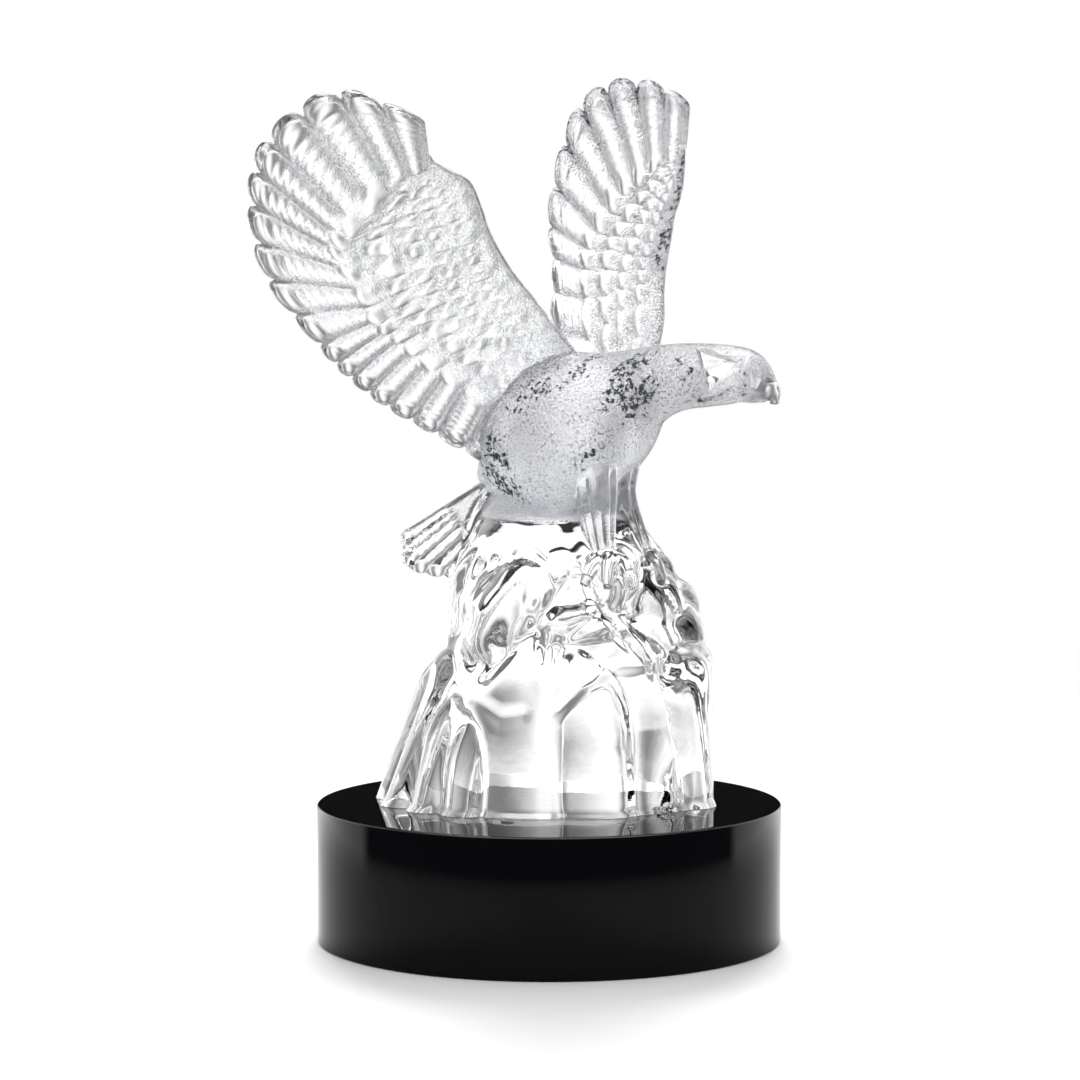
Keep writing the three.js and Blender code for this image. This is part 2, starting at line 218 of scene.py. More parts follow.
def limb_rings(stations, rows, sides, ridge):
    """A round swelling between stations of a point and a radius, with ridges along it."""
    path, radius = np.hsplit(np.array(stations, float), [3])

    def ridges(share, turn):
        return ridge * (np.abs(np.cos(0.5 * RIDGES_AROUND * turn)) - 0.5)

    return swelling_rings(path, radius.repeat(3, axis=1), (0, 1, 0), rows, sides, ridges)


# %% [markdown]
# ## The face: flats and lines
#
# Two flats are ground on each side of the real head, on the cheek and the beak, and they catch
# the light. Cutting them with a Boolean would leave thin slivers, so each point inside a flat's
# outline moves back to a leaning plane. Brow and eye are small pushes outward, and the jaw is a
# shallow line pressed in.

# %% Marks on the head
HEAD_MIDDLE = -18.7
FACE = [  # height, share along the trunk, turn in degrees, half widths along and around
    (0.8, 0.78, 128, 0.05, 0.22), (0.6, 0.79, 148, 0.014, 0.16),
    (-0.4, 0.765, 148, 0.015, 0.25)]
FACET_SOFT = 0.3
FACET_EDGE = 0.6


def spot(share, turn, at, about, along, around):
    """A round hump of height 1 at a place on a swelling, with its two half widths."""
    apart = np.angle(np.exp(1j * (turn - about)))
    return np.exp(-(((share - at) / along) ** 2) - (apart / around) ** 2)


def face_relief(share, turn):
    """Brow, eye and the hollow behind it: humps, the same on both sides of the head."""
    height = 0
    for high, at, about, along, around in FACE:
        for side in (about, 180 - about):
            height = height + high * spot(share, turn, at, radians(side), along, around)
    return height


def beside_line(x, z, points):
    """Distance to the nearest segment of a bent line, in the plane of the picture."""
    nearest = np.inf
    for (x0, z0), (x1, z1) in zip(points, points[1:]):
        length = (x1 - x0) ** 2 + (z1 - z0) ** 2
        share = np.clip(((x - x0) * (x1 - x0) + (z - z0) * (z1 - z0)) / length, 0, 1)
        away = np.hypot(x - mix(x0, x1, share), z - mix(z0, z1, share))
        nearest = np.minimum(nearest, away)
    return nearest


def along_lines(points, lines, half):
    """Soft marks along bent lines: a bell over the distance to each, 1 on the line itself."""
    x, z = points[..., 0], points[..., 2]
    return sum(np.exp(-((beside_line(x, z, line) / half) ** 2)) for line in lines)


def inside(x, z, corners):
    """A soft mask of a polygon whose corners run anticlockwise: the product, over its edges, of
    a smooth step of the distance to the inner side of that edge."""
    mask = 1
    for (x0, z0), (x1, z1) in zip(corners, corners[1:] + corners[:1]):
        within = ((x1 - x0) * (z - z0) - (z1 - z0) * (x - x0)) / np.hypot(x1 - x0, z1 - z0)
        mask = mask * ramp(-FACET_EDGE, FACET_EDGE, within)
    return mask


def facet(points, corners, tilt, depth):
    """Grinds a flat on both sides of the head: inside the outline, what stands in front of a
    plane that leans back by the tilt moves back to it, with a softened edge."""
    x, y, z = np.moveaxis(points, -1, 0)
    middle_z = np.mean(corners, axis=0)[1]
    ahead = np.abs(y - HEAD_MIDDLE) - depth + np.tan(tilt) * (z - middle_z)
    cut = FACET_SOFT * np.logaddexp(0, ahead / FACET_SOFT) * inside(x, z, corners)
    ground = points.copy()
    ground[..., 1] -= np.sign(y - HEAD_MIDDLE) * np.minimum(cut, np.abs(y - HEAD_MIDDLE))
    return ground


# %% Shape the trunk and the head
TRUNK_ROWS, TRUNK_SIDES = 150, 96
CHEEK = [(47.2, 194.6), (50.6, 180.2), (60, 189.4)]  # x and z of corners, from the side
CHEEK_TILT, CHEEK_DEPTH = radians(36), 7.6
JAW_LINES = [
    [(48, 177.6), (51.2, 178.1), (54.4, 179.2), (57.5, 181.2)],
    [(60.8, 180.2), (64, 179), (68.8, 178.2)]]
JAW_DEPTH = 0.7
JAW_HALF = 0.7

trunk_rings = trunk_form(TRUNK_ROWS, TRUNK_SIDES, face_relief)
trunk_rings = facet(trunk_rings, CHEEK, CHEEK_TILT, CHEEK_DEPTH)
jaw = JAW_DEPTH * along_lines(trunk_rings, JAW_LINES, JAW_HALF)
trunk_rings[..., 1] -= jaw * np.sign(trunk_rings[..., 1] - HEAD_MIDDLE)
print("deepest point of the jaw line:", round(float(jaw.max()), 2), "mm")

# %% [markdown]
# ## Frost: a number on every point
#
# The eagle is polished only in places. Its trunk keeps the frosted skin of the mould, with pits
# at the breast and the flank, which are coloured dark as painted shade. Painting them would
# need an image, so each point carries a number instead: 0 is polished, 1 is grainy, and more
# opens pits. The material reads it later.

# %% Frost of the trunk
BEAK_SIDE = [(63.8, 187.4), (65, 181), (74, 178.6)]
PITTED = [  # strength, share along the trunk, turn in degrees, half widths along and around
    (1.5, 0.485, 165, 0.035, 0.6), (1.2, 0.44, 190, 0.03, 0.4), (0.6, 0.34, 215, 0.035, 0.2)]
PIT_LINES = [  # strength, half width, then x and z of points, as seen from the front
    (0.6, 3, [(-18.9, 164.9), (-16, 170), (-8, 177.5), (1.3, 183), (14.1, 190.4)]),
    (0.9, 4.5, [(-21.5, 164), (-17.5, 155.5), (-13.5, 147.5)])]
EYES_AND_SPECKS = [  # x, z and half width
    (61.2, 190.3, 0.8), (62.4, 186.2, 0.9), (62.1, 182.2, 0.8), (41, 190, 1.2),
    (45, 187.4, 1), (42.2, 184.8, 0.9)]
FAR_SIDE_FROST = 0.05
HEAD_POLISH = 0.3
JAW_FROST = 0.9
SPECK_FROST = 1.2


def trunk_frost(rings):
    """Frost over the trunk: full on the near side and faint on the far one, a little less on
    the head, and none on the flats. Bells of pits, the jaw, the eye and specks are added."""
    x, y, z = np.moveaxis(rings, -1, 0)
    share = np.linspace(0, 1, TRUNK_ROWS)[:, None]
    turn = np.linspace(0, 2 * pi, TRUNK_SIDES, endpoint=False)[None, :]
    near_side = mix(FAR_SIDE_FROST, 1, ramp(-0.6, 0.3, -np.cos(turn)))
    frost = near_side * (1 - HEAD_POLISH * ramp(0.5, 0.8, share))
    frost = frost * (1 - inside(x, z, CHEEK)) * (1 - inside(x, z, BEAK_SIDE))
    # Frost above about 1 opens pits, which the material colours near black: painted shade in the
    # pits, along the jaw line and at the eye.
    for strength, at, about, along, around in PITTED:
        frost = frost + strength * spot(share, turn, at, radians(about), along, around)
    for strength, half, line in PIT_LINES:
        frost = frost + strength * along_lines(rings, [line], half) * near_side
    near = y < HEAD_MIDDLE
    frost = frost + JAW_FROST * along_lines(rings, JAW_LINES, JAW_HALF) * near
    for at_x, at_z, half in EYES_AND_SPECKS:
        bell = np.exp(-((x - at_x) ** 2 + (z - at_z) ** 2) / half**2)
        frost = frost + SPECK_FROST * near * bell
    return frost


trunk = ring_solid("trunk", trunk_rings, trunk_frost(trunk_rings))

# %% Beak, legs and toes
BEAK_TILT, BEAK_DEPTH = radians(38), 3.6
LIMBS = [  # name, stations, rows, points in a ring, height of the ridges, frost
    ("beak", BEAK, 40, 40, 0, 0), ("mandible", MANDIBLE, 24, 24, 0, 0.6),
    ("near_thigh", NEAR_THIGH, 48, 54, 1.2, 0.15), ("far_thigh", FAR_THIGH, 48, 54, 0.9, 0.1),
    ("tail_web", TAIL_WEB, 32, 32, 0, 0),
    *((f"toe_{number}", toe, 22, 16, 0, 0) for number, toe in enumerate(TOES))]

limbs = []
for name, stations, rows, sides, ridge, frost in LIMBS:
    rings = limb_rings(stations, rows, sides, ridge)
    if name == "beak":
        rings = facet(rings, BEAK_SIDE, BEAK_TILT, BEAK_DEPTH)
    limbs.append(ring_solid(name, rings, frost))

# %% [markdown]
# ## Wings and tail: fans of feathers
#
# A wing is a fan. Three curves run across its feathers: the leading edge, the line where the
# long flight feathers come out from under the small covering ones, and the tips. A point on
# the fan has two parameters: how far across, from the outermost feather to the shoulder, and
# how far out, from the leading edge to the tips. Modelling each feather as its own object would
# leave seams inside the glass, so the relief is one formula over one closed surface.

# %% Sizes of the fans, in millimetres
# A plane is a depth y at a point x, z, then what y gains per x and per z. A row of covering
# feathers is where it ends, its length, how many feathers it has and how high they rise.
NEAR_WING = dict(
    feathers=18, plane=(-12, 9.4, 194.6, 0.096, -0.32),
    leading=[(-36, 253), (-32, 251), (-25, 247), (-21.5, 239.5), (-19, 232), (-15.5, 225),
             (-11, 218), (-5, 210.5), (1.5, 202), (11, 190.5)],
    coverts=[(-38, 250), (-49.5, 244.5), (-61, 231), (-65.5, 223), (-58, 212), (-54.5, 202.5),
             (-47.5, 196.5), (-39, 188.5), (-28, 180), (-12, 167)],
    tips=[(-39, 267), (-66.5, 275.5), (-88.5, 261.5), (-95, 241), (-90.5, 216.5), (-74.5, 195),
          (-64.5, 184), (-52.5, 174.5), (-37, 165.5), (-19, 155.5)],
    flight_half=2.6, arm_half=3.2, root_half=6, camber=3, notch=0.1,
    frost=0.78, pits=0, joins_trunk=True,
    rows=[(0.53, 0.18, 16, 2.2), (0.38, 0.15, 17, 2.0), (0.28, 0.1, 19, 1.5),
          (0.2, 0.09, 21, 1.3), (0.12, 0.08, 22, 1)],
    columns=10, steps=72, lumps=0.25)
FAR_WING = dict(
    feathers=11, plane=(14, 30, 195, -0.5, 0.6),
    leading=[(45.5, 260), (45.5, 252), (44, 243), (42, 237), (40.5, 228.5), (39, 220.5),
             (38, 212), (37.5, 200), (33, 180)],
    coverts=[(44, 255.5), (35.5, 254.5), (29.5, 249), (23, 243), (17.5, 235), (13, 227),
             (11.5, 217), (12, 203), (14, 180)],
    tips=[(48, 275.5), (36, 282.5), (21.5, 283.5), (9.5, 275), (2.5, 256), (-0.5, 235.5),
          (1, 220), (1, 203), (3, 179)],
    flight_half=2.6, arm_half=3.0, root_half=6, camber=3, notch=0.11,
    frost=0.95, pits=1.7, joins_trunk=False,
    rows=[(0.53, 0.2, 11, 2.2), (0.37, 0.16, 12, 1.9), (0.26, 0.12, 13, 1.5),
          (0.16, 0.1, 14, 1.2)],
    columns=12, steps=66, lumps=0.08)
TAIL = dict(
    feathers=6, plane=(27, -40, 122, 0.6, -1.11),
    leading=[(-20, 151), (-14, 150), (-9, 146)],
    coverts=[(-34.5, 141.5), (-31, 135), (-20, 129)],
    tips=[(-49, 132.5), (-47.5, 120.5), (-31, 115.5)],
    flight_half=2.8, arm_half=4, root_half=4, camber=0, notch=0.06, rows=[],
    frost=0.15, pits=0, joins_trunk=False, columns=12, steps=34, lumps=0)
print("feathers:", [fan["feathers"] for fan in (NEAR_WING, FAR_WING, TAIL)])

# %% The feather formula
COVERT_SHARE = 0.5
FINGER_HALF = 0.47
FINGER_POWER = 0.75
BALL_RISE = 0.7
BALL_PLACE, BALL_HALF = 0.88, 0.09
RIPPLE_RISE = 0.16
RIPPLE_PITCH = 0.1
RIPPLE_SHIFT, RIPPLE_BEND = 2.4, 1.5
ROW_LOBE = 0.08
ROW_NOSE = 0.035
ROW_LIFT = 0.22
ROW_WANDER = 0.009
ROW_UNEVEN = 0.022


def bulge(share, count):
    """Half a circle over each of count feathers: 1 on the spine and 0 in the grooves."""
    across = share * count
    return np.sqrt(np.clip(1 - (2 * (across - np.floor(across)) - 1) ** 2, 0, 1))


def finger_relief(fan, across, out):
    """Height of the flight feathers from 0 to 1: an arched finger on each feather, a ball at
    its tip, and cross ripples along it whose phase differs from feather to feather."""
    place = across * fan["feathers"]
    beside = place - np.floor(place) - 0.5
    arch = np.clip(1 - (beside / FINGER_HALF) ** 2, 0, 1) ** FINGER_POWER
    along = np.clip((out - COVERT_SHARE) / (1 - COVERT_SHARE), 0, 1)
    ball = BALL_RISE * np.exp(-(((along - BALL_PLACE) / BALL_HALF) ** 2))
    phase = np.floor(place) * RIPPLE_SHIFT + RIPPLE_BEND * np.sin(3 * beside)
    wave = np.sin(2 * pi * along / RIPPLE_PITCH + phase) * ramp(0.05, 0.25, along)
    ripple = RIPPLE_RISE * wave * (1 - 0.5 * ramp(0.3, 0.6, across))
    return arch * (0.8 + 0.2 * along + ball + ripple)


def covert_relief(fan, across, out):
    """Height of the covering feathers in millimetres: rows of shingles, where the row nearer
    to the leading edge lies on top. Each shingle is an arch that rises to a round nose."""
    height = np.zeros(np.broadcast(across, out).shape)
    for number, (end, length, count, rise) in enumerate(fan["rows"]):
        wander = ROW_WANDER * np.sin(19 * across + 2 * number)
        place = across + 0.5 * (number % 2) / count + wander
        lobe = bulge(place, count)
        uneven = ROW_UNEVEN * np.sin(12.9 * np.floor(place * count) + 5 * number)
        edge = end + ROW_LOBE * (lobe - 0.5) + uneven
        along = ramp(0, 0.8, (out - edge + length) / length)
        nose = quarter_round(np.clip(edge - out, 0, 1), ROW_NOSE)
        arch = rise * (0.1 + 0.9 * lobe) * (0.15 + 0.85 * along)
        height = np.maximum(height, (ROW_LIFT * (number + 1) + arch) * nose)
    return height * ramp(0.02, 0.16, across)


# %% [markdown]
# ## Where the wing melts into the breast
#
# The near wing has no edge at its root: it flows into the trunk, as melted glass does. A bevel
# can't do that on a Boolean's ragged seam. Here a map of the trunk's depth is read under each
# point of the wing, and the nearer of the two wins, with a wide fillet between them.

# %% The melted root
MAP_LOW = np.array([-30, 130])
MAP_CELL = 0.75
MAP_SHAPE = (150, 104)
MAP_FAR = 1000
MAP_ROWS, MAP_SIDES = 900, 720
FILLET = 11
FILLET_SINK = 2.5
LEADING_RIM, TIP_RIM = 0.1, 0.08
RIM_PITS_END = (0.6, 0.75)
ROOT_LOW = (156, 172)
ROOT_FROST = (3, 14)
ROOT_PITS = 2


def trunk_front(points):
    """Depth of the trunk's front face at each point of a wing. It is read from a map: each cell
    over x and z keeps the nearest of many samples, and four cells around a point are blended."""
    dense = trunk_form(MAP_ROWS, MAP_SIDES).reshape(-1, 3)
    cells = np.floor((dense[:, ::2] - MAP_LOW) / MAP_CELL).astype(int)
    depth = np.full(MAP_SHAPE, float(MAP_FAR))
    np.minimum.at(depth, tuple(cells.T), dense[:, 1])
    place = (points[..., ::2] - MAP_LOW) / MAP_CELL - 0.5
    place = np.clip(place, 0, np.array(MAP_SHAPE) - 1.01)
    i, j = np.moveaxis(place.astype(int), -1, 0)
    u, v = np.moveaxis(place % 1, -1, 0)
    low = mix(depth[i, j], depth[i + 1, j], u)
    high = mix(depth[i, j + 1], depth[i + 1, j + 1], u)
    return mix(low, high, v)


def melt_into(front, face):
    """The nearer of two depths, with a rounded corner: within a fillet's width of each other the
    two are mixed, less a parabola. Where the face is clearly nearer, the front sinks under it."""
    share = np.clip(0.5 + 0.5 * (face - front) / FILLET, 0, 1)
    nearer = mix(face, front, share) - FILLET * share * (1 - share)
    return nearer + FILLET_SINK * ramp(0.5 * FILLET, FILLET, front - face)


def fan_frost(fan, across, out, valley, ahead, z):
    """Frost of a fan's front face: grain in the hollows and pits along the rims. Where the face
    stands little ahead of the trunk, the frost is the trunk's, with a bell of pits."""
    rims = np.exp(-((out / LEADING_RIM) ** 2)) + np.exp(-(((1 - out) / TIP_RIM) ** 2))
    # Pits along the rims and by the root take a near-black colour in the material: painted shade.
    grainy = fan["frost"] * valley + fan["pits"] * rims * (1 - ramp(*RIM_PITS_END, across))
    low = 1 - ramp(*ROOT_LOW, z)
    pitted = (0.35 + 0.65 * low) * np.exp(-(((ahead - ROOT_PITS) / (4 + 4 * low)) ** 2))
    return np.maximum(grainy, 1 - ramp(*ROOT_FROST, ahead)) + pitted


# %% Rings of a fan
GROOVE_DEPTH = 0.74
BACK_RELIEF = 0.5
GRAIN_PITCH, GRAIN_HEIGHT, GRAIN_SEED = 2.2, 0.09, 3
LUMP_PITCH, LUMP_SEED = 6, 4
EDGE_ROUND = 0.1
TIP_ROUND = 0.1
ROOT_ROUND = 0.07
RELIEF_AHEAD = (-2, 9)


def fan_rings(fan):
    """Rings of a fan and their frost: at each share across, the ring runs out over the front
    face and back over the rear one, at the middle surface plus or minus half a thickness."""
    y, plane_x, plane_z, per_x, per_z = fan["plane"]
    across = np.linspace(0, 1, fan["feathers"] * fan["columns"] + 1)[:, None]
    even = np.linspace(0, 1, fan["steps"] + 2)[None, 1:-1]
    out = even - 0.35 * np.sin(2 * pi * even) / (2 * pi)

    def line(name):
        x, z = np.array(fan[name], float).T
        depth = y + per_x * (x - plane_x) + per_z * (z - plane_z)
        return through(np.stack([x, depth, z], -1), across)

    leading, coverts, tips = line("leading"), line("coverts"), line("tips")
    back = np.array([-per_x, 1, -per_z]) / np.linalg.norm([per_x, 1, per_z])

    def middle(out):
        reach = 1 - fan["notch"] * (1 - bulge(across, fan["feathers"]))
        inner = np.clip(out / COVERT_SHARE, 0, 1)[..., None]
        outer = (np.clip(out / COVERT_SHARE - 1, 0, 1) * reach)[..., None]
        flat = mix(mix(leading, coverts, inner), tips, outer)
        return flat + fan["camber"] * np.sin(pi * out)[..., None] * back

    arm = mix(fan["arm_half"], fan["flight_half"], ramp(0, 0.6, out))
    plain = mix(arm, fan["root_half"], ramp(0.78, 1.03, across))
    fingers = plain * GROOVE_DEPTH * finger_relief(fan, across, out) * ramp(0.44, 0.52, out)
    lumps = np.maximum(fingers, covert_relief(fan, across, out))
    end = np.maximum(0.35, quarter_round(across, 1 / fan["feathers"]))
    if fan["joins_trunk"]:
        end = end * np.maximum(0.2, quarter_round(1 - across, ROOT_ROUND))
    rim = end * quarter_round(out, EDGE_ROUND) * quarter_round(1 - out, TIP_ROUND)
    core = middle(out)
    face = trunk_front(core) if fan["joins_trunk"] else MAP_FAR
    ahead = face - (core - back * plain[..., None])[..., 1]
    lumps = lumps * ramp(*RELIEF_AHEAD, ahead)
    valley = 1 - np.clip(lumps / (plain * GROOVE_DEPTH), 0, 1)
    rough = GRAIN_HEIGHT * (0.3 + valley) * grain(core, GRAIN_PITCH, GRAIN_SEED)
    inner_lumps = fan["lumps"] * (1 - ramp(0.5, 0.6, out))
    rough = rough + inner_lumps * grain(core, LUMP_PITCH, LUMP_SEED)
    floor = plain * (1 - GROOVE_DEPTH)
    front = core - back * ((floor + lumps + rough) * rim)[..., None]
    front[..., 1] = melt_into(front[..., 1], face)
    rear = core + back * ((floor + BACK_RELIEF * lumps) * rim)[..., None]
    first, last = middle(np.zeros((1, 1))), middle(np.ones((1, 1)))
    rings = np.concatenate([first, front, last, rear[:, ::-1]], axis=1)
    grainy = fan_frost(fan, across, out, valley, ahead, core[..., 2])
    edge = np.zeros_like(across)
    return rings, np.concatenate([edge, grainy, edge, np.zeros_like(grainy)], axis=1)


near_wing = ring_solid("near_wing", *fan_rings(NEAR_WING))
far_wing = ring_solid("far_wing", *fan_rings(FAR_WING))
tail = ring_solid("tail", *fan_rings(TAIL))

# %% [markdown]
# ## The rock: the farthest of many simple forms
#
# The rock is read from a vertical axis: at each height and compass angle it reaches out to the
# farthest of a tapering core, leaning columns and boulders. A soft maximum rounds the creases
# between them, as polishing does. Stacking real cylinders and joining them would give the same
# outline with hard, hollow seams. Folds, grooves and ridges are then added to the reach.

# %% Sizes of the rock, in millimetres and degrees
ROCK_TOP = 151
AIR_GAP = 0.12
ROCK_CORE = [  # z, then reach to the left, right, front and back
    (45, 47, 49, 35, 34), (72, 39, 48, 34, 36), (96, 31, 46, 30, 35),
    (119, 29.5, 39, 26, 31), (128, 27.5, 35.5, 24.5, 29), (136, 24, 30.5, 22.5, 25),
    (140, 21.5, 29, 21, 23.5), (142.5, 19, 28, 12, 17), (151, 10, 22, 6, 10)]
COLUMNS = [  # angle, reach at the foot, radius, inward lean per mm, top, height of the dome
    (170, 58, 9, 0.38, 93, 9), (190, 55, 8, 0.38, 97, 9), (208, 50, 7, 0.24, 81, 14),
    (227, 46, 8, 0.12, 75, 20), (249, 41, 22, 0.12, 108, 24), (301, 43, 20, 0.05, 102, 34),
    (348, 54.5, 13, 0.02, 100, 9), (18, 53, 14, 0.08, 94, 20), (55, 42, 14, -0.12, 92, 26),
    (94, 37, 15, -0.15, 100, 26), (128, 42, 13, -0.1, 90, 26), (152, 47, 9, 0.12, 84, 20)]
BOULDERS = [  # angle, turn per millimetre, reach, radius, middle height, half height
    (236, 0.8, 37, 14, 107, 20), (296, 0.6, 36, 17, 106, 9), (316, 0, 37, 9, 121, 11),
    (340, -0.4, 44, 10, 112, 14), (355, 0, 49.5, 13, 100, 19), (204, 0.5, 33, 9, 108, 12),
    (70, 0.4, 36, 14, 112, 13), (130, -0.4, 35, 13, 118, 14)]
LINES = [  # height, below 0 for a groove, half width, then x and z of points, from the front
    (-2.2, 2.2, [(7, 121), (-4.5, 106.5), (-14, 97), (-21, 89)]),
    (-2.6, 1.8, [(30, 106.5), (36, 94.5), (40.5, 79), (44, 62), (47, 36)]),
    (-2.0, 2.0, [(-1, 104), (6.5, 103), (11.5, 106.5), (17.5, 110), (25.5, 109), (31, 103.5)]),
    (1.2, 2.6, [(0.5, 36), (0.5, 76.5), (4, 81.5), (10, 87.5), (17.5, 92), (32, 93.5)]),
    (0.8, 3.0, [(-23, 81.5), (-15.5, 76.5), (-9, 77.5)]),
    (1.6, 2.6, [(-25, 112.5), (-20, 121.5), (-11, 127), (-0.5, 123), (11.5, 125), (18, 123)]),
    (-2.4, 4.5, [(-31, 89), (-18, 98)])]
print("columns:", len(COLUMNS), "boulders:", len(BOULDERS), "lines:", len(LINES))

# %% Reach of the core, columns and boulders
ROCK_SQUARENESS = 2.4
ROCK_BLEND = 0.6


def reach_through(angle, about, centre, radius):
    """Where a ray from the axis leaves a circle that lies at an angle and a distance from
    it: the circle's own distance along the ray plus half the chord, or 0 where it misses."""
    apart = angle - np.radians(about)
    beside = centre * np.sin(apart)
    hit = (np.abs(beside) < radius) & (np.cos(apart) > 0)
    chord = np.sqrt(np.clip(radius**2 - beside**2, 0, None))
    return np.where(hit, centre * np.cos(apart) + chord, 0)


def rock_reach(z, angle):
    """The soft largest reach of all forms: the blend length times the log of the summed
    exponentials. The core is an oval whose sine and cosine are raised to a power."""
    heights, *sides = np.array(ROCK_CORE, float).T
    left, right, front, back = (np.interp(z, heights, side) for side in sides)
    half_x = np.where(np.cos(angle) > 0, right, left)
    half_y = np.where(np.sin(angle) > 0, back, front)
    power = ROCK_SQUARENESS
    oval = np.abs(np.cos(angle) / half_x) ** power + np.abs(np.sin(angle) / half_y) ** power
    reaches = [oval ** (-1 / power)]
    for about, foot, radius, lean, top, dome in COLUMNS:
        past = np.clip((z - top) / dome + 1, 0, 1)
        centre = foot - radius - lean * (z - BASE_TOP / MM)
        reaches.append(reach_through(angle, about, centre, radius * np.sqrt(1 - past**2)))
    for about, twist, far, radius, middle, half in BOULDERS:
        up = np.clip((z - middle) / half, -1, 1)
        turned = about + twist * (z - middle)
        reaches.append(reach_through(angle, turned, far - radius, radius * np.sqrt(1 - up**2)))
    return ROCK_BLEND * np.logaddexp.reduce(np.stack(reaches) / ROCK_BLEND, axis=0)


# %% Folds, lines and scoops on the rock
ROCK_AXIS = np.array([0, 2, 0])
ROCK_ROWS, ROCK_SIDES = 130, 224
MELT_HEIGHT, MELT_PITCH, MELT_SEED = 0.9, 30, 5
FLOW_HEIGHT, FLOW_PITCH, FLOW_SEED = 1.5, 17, 6
FLOW_RADIUS = 38
FLOW_SLANT = 0.45
FLOW_STRETCH = 0.3
SCOOPS, SCOOP_SEED = 8, 7
SCOOP_RANGES = [(0, 2 * pi), (86, 134), (0.5, 2), (4, 8)]  # angle, height, depth, radius
FOOT_FLARE = 1.5
FOOT_HEIGHT = 2.6
FROST_LINE = (138, 141)


def on_rock(reach, z, angle):
    """Points at a reach from the rock's axis."""
    return np.stack([reach * np.cos(angle), reach * np.sin(angle), z + 0 * reach], -1)


def rock_folds(reach, z, angle):
    """Lumps over the skin, plus creased waves that run down and slant to both sides. They fade
    out towards the foot and the top."""
    front = np.angle(np.exp(1j * (angle + pi / 2)))
    slanted = FLOW_RADIUS * front + FLOW_SLANT * np.tanh(4 * front) * (z - ROCK_TOP)
    stretched = np.stack([slanted, 0 * slanted, FLOW_STRETCH * z + 0 * slanted], -1)
    lumps = MELT_HEIGHT * grain(on_rock(reach, z, angle), MELT_PITCH, MELT_SEED)
    flow = FLOW_HEIGHT * np.abs(grain(stretched, FLOW_PITCH, FLOW_SEED))
    return (lumps + flow) * mix(0.04, 1, ramp(82, 104, z)) * (1 - 0.9 * ramp(118, 134, z))


def rock_rings(rows, sides):
    """Rings of the rock: the soft largest reach with folds, grooves and ridges, less a few
    shallow round scoops, and with a small flare at the foot."""
    z = np.linspace(BASE_TOP / MM + AIR_GAP, ROCK_TOP, rows)[:, None]
    angle = np.linspace(0, 2 * pi, sides, endpoint=False)[None, :]
    reach = rock_reach(z, angle)
    reach = reach + rock_folds(reach, z, angle)
    in_front = ramp(0.1, 0.4, -np.sin(angle))
    for high, wide, points in LINES:
        apart = beside_line(reach * np.cos(angle), z, points)
        reach = reach + high * in_front * np.exp(-((apart / wide) ** 2))
    random = np.random.default_rng(SCOOP_SEED)
    scoops = [random.uniform(low, high, SCOOPS) for low, high in SCOOP_RANGES]
    for about, middle, deep, wide in zip(*scoops):
        apart = np.angle(np.exp(1j * (angle - about))) * reach
        reach = reach - deep * np.exp(-(apart**2 + (z - middle) ** 2) / wide**2)
    foot = 1 - ramp(0, FOOT_HEIGHT, z - BASE_TOP / MM)
    reach = reach + FOOT_FLARE * foot * ramp(-0.1, 0.4, -np.sin(angle))
    return ROCK_AXIS + on_rock(reach, z, angle)


rock_form = rock_rings(ROCK_ROWS, ROCK_SIDES)
rock = ring_solid("rock", rock_form, ramp(*FROST_LINE, rock_form[..., 2]))

# %% [markdown]
# ## One casting
#
# Clear glass shows every face, also those inside, so the forms are joined into one skin. The
# Boolean modifier does that, and then the new creases are rounded by weighted smoothing. The
# frost of a seam is read anew from both sides, or the seam would show as a polished line.

# %% Join the forms
SEAM_SPREAD, SEAM_ROUNDS = 7, 14
ROOT_SPREAD, ROOT_ROUNDS = 9, 24
SEAM_FADE = 0.9
SHARP_CRYSTAL = radians(55)


def casting(name, pieces):
    """The union of the pieces as one new object. The pieces themselves are removed."""
    first = pieces[0]
    for piece in pieces[1:]:
        join = first.modifiers.new("join", "BOOLEAN")
        join.operation = "UNION"
        join.solver = "MANIFOLD"
        join.object = piece
    evaluated = first.evaluated_get(bpy.context.evaluated_depsgraph_get())
    mesh = bpy.data.meshes.new_from_object(evaluated)
    mesh.name = name
    for piece in pieces:
        bpy.data.objects.remove(piece)
    return add_object(name, mesh)


def read(items, name, kind, width=1):
    """One property of all items of a mesh, as a flat array."""
    values = np.empty(width * len(items), kind)
    items.foreach_get(name, values)
    return values


def seam_mask(mesh, parts):
    """The points between faces of two parts, of any two or of the two that are named."""
    part = read(mesh.attributes["part"].data, "value", np.int32)
    corner_part = np.repeat(part, read(mesh.polygons, "loop_total", np.int32))
    corner_point = read(mesh.loops, "vertex_index", np.int32)
    lowest = np.full(len(mesh.vertices), len(PART_NAMES))
    highest = np.full(len(mesh.vertices), -1)
    np.minimum.at(lowest, corner_point, corner_part)
    np.maximum.at(highest, corner_point, corner_part)
    if parts is None:
        return lowest < highest
    low, high = (PART_NAMES.index(name) for name in parts)
    return (lowest == low) & (highest == high)


